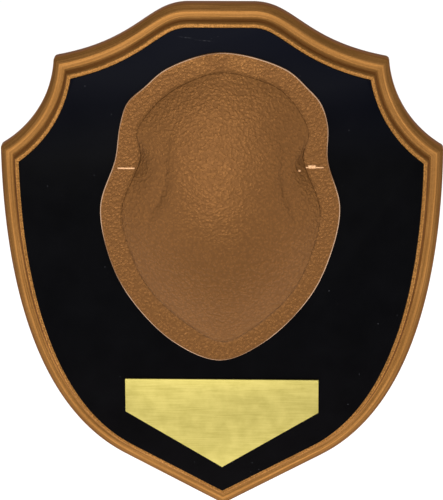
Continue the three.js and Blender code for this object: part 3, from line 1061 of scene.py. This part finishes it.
# A mark lies on the sheet at the depth of the nearest place on its outside.
def makeTrimMark(sheet, name, number):
    t = trimWork
    across, drop, length, width = (value * mm for value in trimMarks[name])
    height = boardHigh.z - cover["topMargin"] - drop

    def farness(place):
        return (place.x - across) ** 2 + (place.z - height) ** 2

    near = [v.co for v in sheet.data.vertices if farness(v.co) < t["searchReach"] ** 2]
    depth = min(near, key=lambda place: farness(place) + place.y).y
    depth = min(depth, coverHigh.y - cover["thickness"])
    deselectAll()
    bpy.ops.mesh.primitive_cube_add(size=1, location=(across, depth, height),
                                    scale=(length, 2 * t["rise"], width))
    mark = bpy.context.object
    bpy.ops.object.transform_apply(location=True, rotation=True, scale=True)
    bpy.ops.object.mode_set(mode="EDIT")
    bpy.ops.mesh.select_all(action="SELECT")
    bpy.ops.mesh.bevel(offset=t["bevel"], segments=3, affect="EDGES")
    bpy.ops.mesh.select_all(action="SELECT")
    bpy.ops.mesh.subdivide(number_cuts=t["cuts"])
    bpy.ops.transform.vertex_random(offset=t["ragged"][name], seed=t["seed"] + number)
    bpy.ops.object.mode_set(mode="OBJECT")
    return mark


def makeCover():
    rings = coverRings()
    sheet = startRing("domedCover", rings[0])
    drawThrough(sheet, rings)
    closeEnds(sheet, len(rings) - 1, toPoint=True)
    sheet.data.materials.append(grainedCopperMaterial(grainedCopper))
    trim = paleTrimMaterial(paleTrim)
    markGroove(sheet, len(rings) - cover["rimSteps"] - cover["crownSteps"])
    sheet.data.materials.append(cutEdgeMaterial(cutEdge))
    edgeStart = cover["insideRimSteps"] + cover["insideCrownSteps"] + 1
    for face in facesBetween(sheet, edgeStart, edgeStart + cover["edgeSteps"]):
        face.material_index = 1
    marks = [makeTrimMark(sheet, name, number) for number, name in enumerate(trimMarks)]
    for mark in marks:
        mark.data.materials.append(trim)
    makeActive(sheet)
    for mark in marks:
        mark.select_set(True)
    bpy.ops.object.join()
    finishPiece(sheet, "skull_cover", [])
    shadeByAngle(sheet, 50)


# Name plate

namePlate = {
    "sideHeight": 20.1 * mm,
    "edgeBevel": 0.15 * mm,
}


def makeNamePlate():
    half = plateHigh.x
    top = plateHigh.z
    tip = plateLow.z
    side = top - namePlate["sideHeight"]
    corners = [Vector((x, panelLow.y - seatGap, z))
               for x, z in ((-half, top), (half, top), (half, side), (0, tip), (-half, side))]
    plate = startRing("blankNamePlate", corners)
    front = [Vector((p.x, plateLow.y, p.z)) for p in corners]
    drawThrough(plate, [corners, front])
    closeEnds(plate, 1)
    makeActive(plate)
    bpy.ops.object.mode_set(mode="EDIT")
    selectStation(plate, 1)
    bpy.ops.mesh.bevel(offset=namePlate["edgeBevel"], segments=3, affect="EDGES")
    bpy.ops.object.mode_set(mode="OBJECT")
    finishPiece(plate, "name_plate", [brushedBrassMaterial(brushedBrass)])
    shadeByAngle(plate, 40)


# Floor, lights and camera

studio = {
    "floorDrop": 150 * mm,      # below the point of the shield
    "floorSize": 30.0,
    "floorColour": (1.0, 1.0, 1.0, 1),
    "floorRoughness": 0.9,
    "worldStrength": 1.0,
}
# Lamps as (place in metres, width, height, watts)
lamps = {
    "left": ((-1.03, -0.91, 0.03), 0.85, 0.6, 4.5),
    "right": ((1.03, -0.91, 0.03), 0.85, 0.6, 4.5),
    "low": ((0, -0.06, -0.29), 1.0, 0.3, 2.3),
    "lowLeft": ((-0.46, -0.28, -0.27), 0.35, 0.25, 0.55),
    "lowRight": ((0.46, -0.28, -0.27), 0.35, 0.25, 0.55),
    "over": ((0, -0.45, 1.35), 0.9, 0.4, 2.4),
    "high": ((0, -1.35, 0.95), 0.9, 0.4, 4.6),
    "highLeft": ((-0.8, -1.3, 0.65), 0.6, 0.4, 2.6),
    "highRight": ((0.8, -1.3, 0.65), 0.6, 0.4, 2.2),
    "key": ((-0.17, -2.0, 0.2), 0.85, 0.33, 23.0),
}
view = {
    "elevation": math.radians(16.84),
    "azimuth": math.radians(2.25),
    "roll": math.radians(0.29),
    "target": Vector((0.204, -19, 9.474)) * mm,
    "distance": 1.6933,
    "lens": 212.13,
    "sensor": 36,
    "clip": (0.05, 100),
}


def makeStage(s):
    deselectAll()
    bpy.ops.mesh.primitive_plane_add(size=s["floorSize"], location=(0, 0, boardLow.z - s["floorDrop"]))
    floor = bpy.context.object
    floor.name = "floor"
    material, tree, shader = newMaterial("pale floor")
    shader.inputs["Base Color"].default_value = s["floorColour"]
    shader.inputs["Roughness"].default_value = s["floorRoughness"]
    floor.data.materials.append(material)
    world = bpy.data.worlds.new("pale studio")
    world.use_nodes = True
    background = world.node_tree.nodes["Background"]
    background.inputs["Color"].default_value = (1, 1, 1, 1)
    background.inputs["Strength"].default_value = s["worldStrength"]
    bpy.context.scene.world = world


def makeLights():
    for name, (place, width, height, power) in lamps.items():
        bpy.ops.object.light_add(type="AREA", location=place)
        lamp = bpy.context.object
        lamp.name = name + " lamp"
        lamp.data.shape = "RECTANGLE"
        lamp.data.size = width
        lamp.data.size_y = height
        lamp.data.energy = power
        lamp.rotation_euler = (-lamp.location).to_track_quat("-Z", "Y").to_euler()


def makeCamera(v):
    cosE, sinE = math.cos(v["elevation"]), math.sin(v["elevation"])
    cosA, sinA = math.cos(v["azimuth"]), math.sin(v["azimuth"])
    back = Vector((sinA * cosE, -cosA * cosE, sinE))
    right = Vector((cosA, sinA, 0))
    up = back.cross(right)
    turnedRight = right * math.cos(v["roll"]) - up * math.sin(v["roll"])
    turnedUp = up * math.cos(v["roll"]) + right * math.sin(v["roll"])
    place = v["target"] + back * v["distance"]
    bpy.ops.object.camera_add()
    camera = bpy.context.object
    camera.matrix_world = Matrix((
        (turnedRight.x, turnedUp.x, back.x, place.x),
        (turnedRight.y, turnedUp.y, back.y, place.y),
        (turnedRight.z, turnedUp.z, back.z, place.z),
        (0, 0, 0, 1),
    ))
    camera.data.sensor_width = v["sensor"]
    camera.data.lens = v["lens"]
    camera.data.clip_start, camera.data.clip_end = v["clip"]
    bpy.context.scene.camera = camera


makeBoard()
makePanel()
makeCover()
makeNamePlate()
makeStage(studio)
makeLights()
makeCamera(view)
bpy.context.scene.view_settings.view_transform = "Standard"
print("stage, lights and camera are set")
